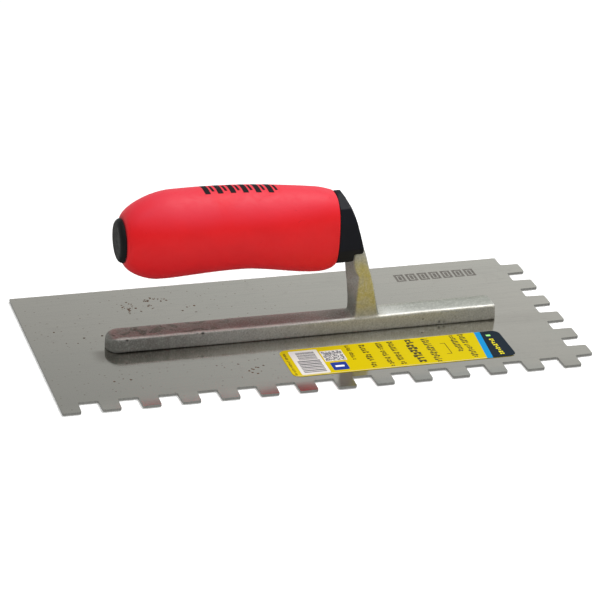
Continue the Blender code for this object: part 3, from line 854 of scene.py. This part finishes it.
def pit_depth(point):
    """Depth of the casting pits at a point, in millimetres."""
    depth = 0.0
    for x, y, z, radius, deep in PITS:
        away = (point - Vector((x, y, z))).length / radius
        if away < 1.0:
            depth += deep * (1.0 - away * away) ** 2
    return depth


def cast_relief(point):
    """Slow waviness and a light grain, less the casting pits."""
    depth = 0.09 * noise.noise(point * 0.09) + 0.035 * noise.noise(point * 0.45)
    depth += 0.012 * noise.noise(point * 1.6)
    return depth - pit_depth(point)


def build_mounting(material):
    """Cast bar, post and tang: worn edges, relief and pits, the pits also as a mask for the finish."""
    mounting = remeshed("cast_mounting", "mounting", rounds=9)
    mesh = mounting.data
    pits = mesh.attributes.new(PIT_LAYER, 'FLOAT', 'POINT')
    pits.data.foreach_set("value", [pit_depth(vert.co / MM) for vert in mesh.vertices])
    displace(mounting, cast_relief)
    for vert in mesh.vertices:
        point = vert.co / MM
        vert.co.z += (seat(point) - bar_drop(point)) * MM
        vert.co.x += foot_shift(point) * MM
        vert.co.y += bar_draft(point) * MM
    return keep(mounting, material, ["mounting"])


def build_core(material):
    core = remeshed("moulded_core", "handle_core", rounds=3)
    return keep(core, material, ["handle_core"])


# -------- grip and cap

GRIP_SIDES = 120
SHOULDER_ROWS = 30
MIDDLE_ROWS = 50
LIP_ROWS = 16


def bulge(t, power=SHOULDER_POWER):
    """Quarter-round shoulder from 0 to 1, flatter than a circle."""
    t = min(1.0, max(0.0, t))
    return (1.0 - (1.0 - t) ** power) ** (1.0 / power)


def grip_top(x):
    """Height of the grip's top line: a rear shoulder, then a shallow crown."""
    crest = CREST_HEIGHT - CREST_CURVATURE * (x - CREST_X) ** 2
    start = AXIS_HEIGHT + REAR_RADIUS
    return start + (crest - start) * bulge((x - GRIP_REAR) / TOP_SHOULDER, TOP_SHOULDER_POWER)


def grip_bottom(x):
    """Height of the grip's lower line: rear shoulder, heel, raised waist, lip."""
    start = AXIS_HEIGHT - REAR_RADIUS
    heel_x = GRIP_REAR + LOW_SHOULDER
    rise = (WAIST_HEIGHT - HEEL_HEIGHT) * smoothstep((x - heel_x) / (WAIST_X - heel_x))
    fall_x = WAIST_X + WAIST_FLAT
    fall = (WAIST_HEIGHT - LIP_HEIGHT) * smoothstep((x - fall_x) / (LIP_X - fall_x))
    low = HEEL_HEIGHT + rise - fall
    return start + (low - start) * bulge((x - GRIP_REAR) / LOW_SHOULDER)


def grip_half_width(x):
    rear = REAR_RADIUS + (GRIP_HALF_WIDTH - REAR_RADIUS) * bulge((x - GRIP_REAR) / TOP_SHOULDER)
    narrowing = smoothstep((x - NARROW_FROM) / (NARROW_TO - NARROW_FROM))
    return rear + (NECK_HALF_WIDTH - GRIP_HALF_WIDTH) * narrowing


def lip_rounding(x):
    """0 along the grip, rising as a quarter round to 1 at its front edge."""
    reach = LIP_TURN * min(1.0, max(0.0, (x - GRIP_FRONT + LIP_LENGTH) / LIP_LENGTH))
    return (1.0 - math.sqrt(1.0 - reach ** 2)) / (1.0 - math.sqrt(1.0 - LIP_TURN ** 2))


def grip_point(x, angle, lift=0.0):
    """Point of the grip's surface at a place along it and an angle round it, raised by lift."""
    top = grip_top(x)
    low = grip_bottom(x)
    half_width = grip_half_width(x)
    rounding = lip_rounding(x)
    top += (RIM_HEIGHT + RIM_HALF_HEIGHT - top) * rounding
    low += (RIM_HEIGHT - RIM_HALF_HEIGHT - low) * rounding
    half_width += (RIM_HALF_WIDTH - half_width) * rounding
    power = 2.0 + (SECTION_POWER - 2.0) * smoothstep((x - GRIP_REAR) / TOP_SHOULDER)
    power += (RIM_POWER - SECTION_POWER) * smoothstep((x - GRIP_FRONT + RIM_BLEND) / RIM_BLEND)
    cos_a, sin_a = math.cos(angle), math.sin(angle)
    y = (half_width + lift) * math.copysign(abs(cos_a) ** (2.0 / power), cos_a)
    z = ((top - low) / 2.0 + lift) * math.copysign(abs(sin_a) ** (2.0 / power), sin_a)
    return (x, y, (top + low) / 2.0 + z)


def grip_ring(x, lift=0.0):
    return [grip_point(x, 2.0 * math.pi * k / GRIP_SIDES, lift) for k in range(GRIP_SIDES)]


def grip_stations():
    """Places of the grip's sections: close together on the rear shoulder and the front lip."""
    shoulder = [GRIP_REAR + TOP_SHOULDER * (k / SHOULDER_ROWS) ** 1.7 for k in range(SHOULDER_ROWS + 1)]
    middle_start = GRIP_REAR + TOP_SHOULDER
    middle = GRIP_FRONT - LIP_LENGTH - middle_start
    middle = [middle_start + middle * k / MIDDLE_ROWS for k in range(1, MIDDLE_ROWS + 1)]
    lip = [GRIP_FRONT - LIP_LENGTH * (1.0 - k / LIP_ROWS) ** 1.5 for k in range(1, LIP_ROWS + 1)]
    return shoulder + middle + lip


def grip_relief(point):
    """Slight unevenness of the moulded rubber."""
    return 0.06 * noise.noise(point * 0.07) - 0.03


def build_grip(material):
    """Tube of rubber: its outer skin, closed through an inner one that lies a wall's thickness inside."""
    stations = grip_stations()
    outer = [grip_ring(x) for x in stations]
    inner = [grip_ring(x, -GRIP_WALL) for x in stations]
    grip = add_mesh("rubber_grip", loft(outer + list(reversed(inner)), closed=True), 50.0)
    displace(grip, grip_relief)
    return keep(grip, material, ["soft_grip"])


PRINT_FROM = -56.0
PRINT_TO = -16.5
PRINT_BARS = 6
PRINT_TURN = math.radians(15.5)
PRINT_LEAN = 0.1
PRINT_ROWS = 6
PRINT_COLUMNS = 2
PRINT_LIFTS = (0.02, 0.06)
# Start and width of the two bars in each step, as shares of it, and their height
PRINT_PAIR = ((0.06, 0.42, 1.0), (0.64, 0.2, 0.6))


def build_grip_print(material):
    """A plain row of slanted bars printed along the top of the grip."""
    pitch = (PRINT_TO - PRINT_FROM) / PRINT_BARS
    bm = bmesh.new()
    for i in range(PRINT_BARS):
        for start, width, share in PRINT_PAIR:
            sheets = []
            for lift in PRINT_LIFTS:
                grid = []
                for v in range(PRINT_ROWS + 1):
                    turn = PRINT_TURN * share * (2.0 * v / PRINT_ROWS - 1.0)
                    row = []
                    for u in range(PRINT_COLUMNS + 1):
                        across = start + width * (u / PRINT_COLUMNS)
                        x = PRINT_FROM + pitch * (i + across + PRINT_LEAN * (v / PRINT_ROWS - 0.5))
                        row.append(bm.verts.new(grip_point(x, math.pi / 2.0 + turn, lift)))
                    grid.append(row)
                sheets.append(grid)
            low, high = sheets
            for v in range(PRINT_ROWS):
                for u in range(PRINT_COLUMNS):
                    bm.faces.new((high[v][u], high[v][u + 1], high[v + 1][u + 1], high[v + 1][u]))
                    bm.faces.new((low[v][u], low[v + 1][u], low[v + 1][u + 1], low[v][u + 1]))
                bm.faces.new((low[v][0], high[v][0], high[v + 1][0], low[v + 1][0]))
                bm.faces.new((low[v][-1], low[v + 1][-1], high[v + 1][-1], high[v][-1]))
            for u in range(PRINT_COLUMNS):
                bm.faces.new((low[0][u], low[0][u + 1], high[0][u + 1], high[0][u]))
                bm.faces.new((low[-1][u], high[-1][u], high[-1][u + 1], low[-1][u + 1]))
    return keep(add_mesh("grip_print", bm), material)


CAP_SIDES = 96


def build_cap(material):
    """Moulded plug: shallow dished face, rounded rim and a hollow stem."""
    face = CAP_LOW.x
    shoulder = GRIP_REAR - 0.3
    radius = (CAP_HIGH.z - CAP_LOW.z) / 2.0
    profile = [
        (face + 0.25, 0.05), (face + 0.22, 3.0), (face + 0.12, 6.0), (face, 8.0), (face + 0.02, 8.6),
        (face + 0.14, 9.2), (face + 0.4, 9.9), (face + 0.8, 10.45), (face + 1.3, 10.85), (face + 1.8, 11.1),
        (face + 2.3, radius - 0.05), (shoulder - 0.15, radius), (shoulder, radius - 0.2),
        (shoulder, 7.35), (GRIP_REAR + 7.0, 7.35), (GRIP_REAR + 7.5, 6.85),
        (GRIP_REAR + 7.5, 5.75), (GRIP_REAR + 1.0, 5.75), (GRIP_REAR + 0.8, 0.05),
    ]
    turns = [2.0 * math.pi * k / CAP_SIDES for k in range(CAP_SIDES)]
    rings = [[(x, r * math.cos(turn), AXIS_HEIGHT + r * math.sin(turn)) for turn in turns]
             for x, r in profile]
    cap = add_mesh("moulded_cap", loft(rings), 32.0)
    return keep(cap, material, ["end_cap"])


# -------- label

def label_place(u, v):
    """From label millimetres (u along, v across from the front) to the blade."""
    centre = (LABEL_LOW + LABEL_HIGH) / 2.0
    du, dv = u - LABEL_LENGTH / 2.0, v - LABEL_WIDTH / 2.0
    cos_a, sin_a = math.cos(LABEL_TURN), math.sin(LABEL_TURN)
    return (centre.x + du * cos_a - dv * sin_a, centre.y + du * sin_a + dv * cos_a)


def rectangle(u0, u1, v0, v1):
    return [(u0, v0), (u1, v0), (u1, v1), (u0, v1)]


def build_print(name, outlines, layer, ink, colour):
    """One colour of the label's print: flat shapes a hair above what lies under them."""
    bm = bmesh.new()
    for outline in outlines:
        places = [label_place(u, v) for u, v in outline]
        slab(bm, places, LABEL_TOP - INK_SINK, LABEL_TOP + INK * layer)
    keep(add_mesh(name, bm), film_finish(ink, colour))


STROKE = 0.48


def greeked(rng, u, height, v0, v1, mark, gap, word=5):
    """A line of plain marks grouped like words, running across the label: pairs of strokes or blocks."""
    outlines = []
    v = v1
    run = 0
    length = rng.randint(max(2, word - 2), word + 2)
    while v - mark > v0:
        low = u + height * rng.choice((0.0, 0.0, 0.2))
        high = u + height * rng.choice((1.0, 1.0, 0.8))
        stroke = mark * STROKE
        outlines.append(rectangle(low, high, v - stroke, v))
        outlines.append(rectangle(low, (low + high) / 2.0 - 0.1 * height, v - mark, v - mark + stroke))
        if rng.random() < 0.6:
            outlines.append(rectangle((low + high) / 2.0 + 0.1 * height, high, v - mark, v - mark + stroke))
        v -= mark + gap
        run += 1
        if run == length:
            v -= mark
            run = 0
            length = rng.randint(max(2, word - 2), word + 2)
    return outlines


# Top and thickness of the thick bars
THICK_BARS = (
    (16.2, 1.3), (14.4, 0.9), (12.9, 1.4), (10.9, 0.9), (9.4, 1.3), (7.5, 0.8), (6.0, 1.3), (4.1, 0.9),
)


def barcode(rng):
    """A random run of fine bars over a row of thick ones."""
    bars = []
    v = 25.4
    while v > 17.4:
        width = rng.choice((0.25, 0.25, 0.5, 0.75))
        bars.append(rectangle(7.8, 17.6, v - width, v))
        v -= width + rng.choice((0.22, 0.22, 0.4))
    for v, width in THICK_BARS:
        bars.append(rectangle(6.4, 18.2, v - width, v))
    return bars


CODE_CELLS = 19
CODE_SIDE = 10.4
CODE_FILL = 0.6


def code_square(rng):
    """A square of randomly filled cells."""
    cells = []
    pitch = CODE_SIDE / CODE_CELLS
    for row in range(CODE_CELLS):
        for column in range(CODE_CELLS):
            if rng.random() < CODE_FILL:
                u = 21.1 + column * pitch
                v = 13.6 + row * pitch
                cells.append(rectangle(u, u + pitch * 0.96, v, v + pitch * 0.96))
    return cells


CYAN_STRIPE = [(102.7, 0.0), (105.9, 0.0), (109.1, 29.3), (105.9, 29.3)]
NAVY_END = [(109.1, 29.3), (105.9, 0.0), (119.0, 0.0), (119.0, 29.3)]


def build_label(film):
    """The label's sheet and each colour of its print, from the barcode end to the navy end."""
    outline = fillet(rectangle(0.0, LABEL_LENGTH, 0.0, LABEL_WIDTH), LABEL_CORNER, 8)
    bm = bmesh.new()
    slab(bm, [label_place(u, v) for u, v in outline], LABEL_LOW.z, LABEL_TOP)
    keep(add_mesh("label_sheet", bm), film, ["label"])
    rng = random.Random(3)
    white = [
        fillet(rectangle(4.6, 19.7, 1.3, 27.3), 0.8, 3),
        rectangle(20.6, 32.0, 13.1, 24.6),
        rectangle(0.9, 118.1, 0.45, 0.65),
    ]
    build_print("label_white", white, 1, "print_white", (0.66, 0.65, 0.63))
    navy = fillet(NAVY_END, [0.0] * (len(NAVY_END) - 2) + [LABEL_CORNER, LABEL_CORNER], 8)
    build_print("label_navy", [navy], 1, "print_navy", (0.012, 0.02, 0.03))
    build_print("label_cyan", [CYAN_STRIPE], 2, "print_cyan", (0.008, 0.25, 0.56))
    blue = [fillet(rectangle(22.0, 30.4, 3.0, 11.4), 0.8, 3)]
    build_print("label_blue", blue, 1, "print_blue", (0.015, 0.04, 0.26))
    dash = [fillet(rectangle(23.8, 28.6, 6.3, 8.1), 0.5, 3)]
    build_print("label_pictogram", dash, 2, "print_pale", (0.85, 0.85, 0.85))
    black = greeked(rng, 66.4, 4.9, 0.9, 28.2, 2.3, 0.6, 30)
    black += greeked(rng, 75.9, 3.9, 1.0, 27.4, 1.2, 0.7, 30)
    black += greeked(rng, 91.0, 3.2, 9.6, 28.4, 1.1, 0.6, 30)
    black += greeked(rng, 96.2, 3.2, 2.0, 28.6, 1.1, 0.6, 8)
    build_print("label_bold", black, 1, "print_black", (0.03, 0.028, 0.02))
    fine = greeked(rng, 34.9, 2.2, 12.4, 28.2, 0.9, 0.4)
    fine += greeked(rng, 42.2, 3.2, 2.0, 27.3, 1.3, 0.6)
    fine += greeked(rng, 51.3, 3.0, 1.4, 27.7, 1.1, 0.45)
    fine += greeked(rng, 57.5, 3.0, 1.8, 27.8, 1.1, 0.45)
    fine += greeked(rng, 1.3, 1.3, 1.4, 25.6, 0.8, 0.35)
    profile = [(84.4, 9.0), (86.8, 9.0), (86.8, 20.6), (84.4, 20.6)]
    for (u0, v0), (u1, v1) in zip(profile, profile[1:]):
        fine.append(rectangle(min(u0, u1) - 0.2, max(u0, u1) + 0.2, min(v0, v1) - 0.2, max(v0, v1) + 0.2))
    build_print("label_fine", fine, 1, "print_brown", (0.05, 0.036, 0.01))
    codes = barcode(rng) + code_square(rng)
    build_print("label_codes", codes, 2, "print_grey", (0.17, 0.17, 0.18))
    bright = greeked(rng, 111.0, 2.3, 1.8, 20.6, 1.3, 0.75, 30)
    build_print("label_bright", bright, 2, "print_yellow", (0.8, 0.7, 0.02))
    block = rectangle(111.0, 113.3, 23.6, 25.4)
    build_print("label_arrow", [block], 3, "print_green", (0.35, 0.75, 0.25))


# -------- stage

def build_floor():
    """White table, seen by the camera only: reflections show the world's lower half in its place."""
    bm = bmesh.new()
    bmesh.ops.create_grid(bm, x_segments=8, y_segments=8, size=4000.0)
    bmesh.ops.translate(bm, verts=bm.verts, vec=(0.0, 0.0, -0.5))
    floor = add_mesh("floor", bm)
    pale = Finish("pale_floor", (0.9, 0.9, 0.9), 0.9, Specular_IOR_Level=0.1, Emission_Strength=0.2,
                  Emission_Color=(1.0, 1.0, 1.0, 1.0))
    pale.tint(pale.spread(pale.noise(3.0), 0.4, 0.7, 0.0, 0.3), (0.92, 0.92, 0.92))
    floor.data.materials.append(pale.material)
    floor.visible_glossy = False


def build_world():
    """Studio surround for the reflections.

    A grey wall behind, darker higher up, brightens to the right; the front wall is darker. The ceiling
    is dark at the back, with a grey patch straight overhead, and below is the table's grey.
    """
    world = bpy.data.worlds.new("studio")
    bpy.context.scene.world = world
    world.use_nodes = True
    nodes, links = world.node_tree.nodes, world.node_tree.links
    place = nodes.new("ShaderNodeTexCoord")
    split = nodes.new("ShaderNodeSeparateXYZ")
    links.new(place.outputs["Generated"], split.inputs["Vector"])

    def spread(axis, low, high, to_low=0.0, to_high=1.0):
        return map_range(world.node_tree, split.outputs[axis], low, high, to_low, to_high)

    def blend(factor, first, second):
        made = nodes.new("ShaderNodeMix")
        links.new(factor, made.inputs["Factor"])
        for socket, value in zip(made.inputs[2:4], (first, second)):
            if isinstance(value, float):
                socket.default_value = value
            else:
                links.new(value, socket)
        return made.outputs[0]

    low_back = spread("X", *BACK_WALL_TURN, *BACK_WALL_LOW)
    high_back = spread("X", *BACK_WALL_TURN, *BACK_WALL_HIGH)
    back = blend(spread("Z", 0.38, 0.5), low_back, high_back)
    walls = blend(spread("Y", -0.4, 0.4), FRONT_WALL, back)
    ceiling = spread("Y", -0.15, 0.25, FRONT_CEILING, BACK_CEILING)
    ceiling = blend(spread("Z", 0.8, 0.94), ceiling, ZENITH)
    above = blend(spread("Z", 0.5, 0.66), walls, ceiling)
    light = blend(spread("Z", -0.12, 0.08), BELOW, above)
    nodes["Background"].inputs["Color"].default_value = (1.0, 1.0, 0.97, 1.0)
    links.new(light, nodes["Background"].inputs["Strength"])


def add_softbox(name, place, aim, size, power, glossy=True):
    """Rectangular lamp at a place, aimed at a point; reflections miss it when glossy is off."""
    light = bpy.data.lights.new(name, 'AREA')
    light.shape = 'RECTANGLE'
    light.size, light.size_y = size
    light.energy = power
    obj = add_object(name, light)
    obj.location = place
    obj.visible_glossy = glossy
    obj.rotation_euler = (Vector(aim) - Vector(place)).to_track_quat('-Z', 'Y').to_euler()
    return obj


def spare(light, *pieces):
    """Keep a light off some pieces, so that their mirror finish doesn't show the lamp from above."""
    group = bpy.data.collections.new("spared_by_" + light.name)
    for piece in pieces:
        group.objects.link(piece)
    for member in group.collection_objects:
        member.light_linking.link_state = 'EXCLUDE'
    light.light_linking.receiver_collection = group


def build_camera():
    """Camera square on the target from a given azimuth and elevation, then rolled."""
    cos_e, sin_e = math.cos(CAMERA_ELEVATION), math.sin(CAMERA_ELEVATION)
    back = Vector((math.sin(CAMERA_AZIMUTH) * cos_e, -math.cos(CAMERA_AZIMUTH) * cos_e, sin_e))
    right = (-back).cross(Vector((0.0, 0.0, 1.0))).normalized()
    up = right.cross(-back)
    turned_right = right * math.cos(CAMERA_ROLL) + up * math.sin(CAMERA_ROLL)
    turned_up = up * math.cos(CAMERA_ROLL) - right * math.sin(CAMERA_ROLL)
    data = bpy.data.cameras.new("camera")
    data.lens = CAMERA_LENS
    data.sensor_width = 36.0
    data.clip_end = 50.0
    camera = add_object("camera", data)
    axes = Matrix((turned_right, turned_up, back)).transposed()
    camera.matrix_world = Matrix.Translation(CAMERA_TARGET + back * CAMERA_DISTANCE) @ axes.to_4x4()
    bpy.context.scene.camera = camera


build_camera()
build_world()
build_floor()
overhead = add_softbox("overhead", place=(0.3, 0.03, 0.98), aim=(0.0, 0.0, 0.0), size=(0.7, 0.6), power=10.0)
add_softbox("front_fill", place=(-0.35, -0.9, 0.95), aim=(0.0, 0.0, 0.03), size=(0.9, 0.6), power=5.5,
            glossy=False)
bpy.context.scene.view_settings.view_transform = 'Standard'

blade = build_blade(steel_finish(), sheared_finish())
build_rust(rust_finish())
spare(overhead, blade, build_etched_mark(zinc_finish("etched_steel", (0.44, 0.41, 0.38))))
build_mounting(cast_finish())
build_core(black_finish("black_plastic", (0.0115, 0.012, 0.0155), 0.36, 0.00002, 0.06))
build_grip(red_finish())
build_grip_print(ink_finish("print_dark", (0.012, 0.008, 0.01)))
build_cap(black_finish("cap_plastic", (0.0085, 0.009, 0.0095), 0.45, 0.00003, 0.16))
build_label(film_finish("label_yellow", (0.58, 0.455, 0.002)))
rivet_steel = zinc_finish("rivet_steel", (0.5, 0.5, 0.48))
zinc_steel = zinc_finish("zinc_steel", (0.62, 0.62, 0.6))
for number in range(RIVET_COUNT):
    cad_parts[f"rivet_{number + 1}"].material_slots[0].material = rivet_steel
for node in ("handle_bolt", "bolt_washer"):
    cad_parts[node].material_slots[0].material = zinc_steel
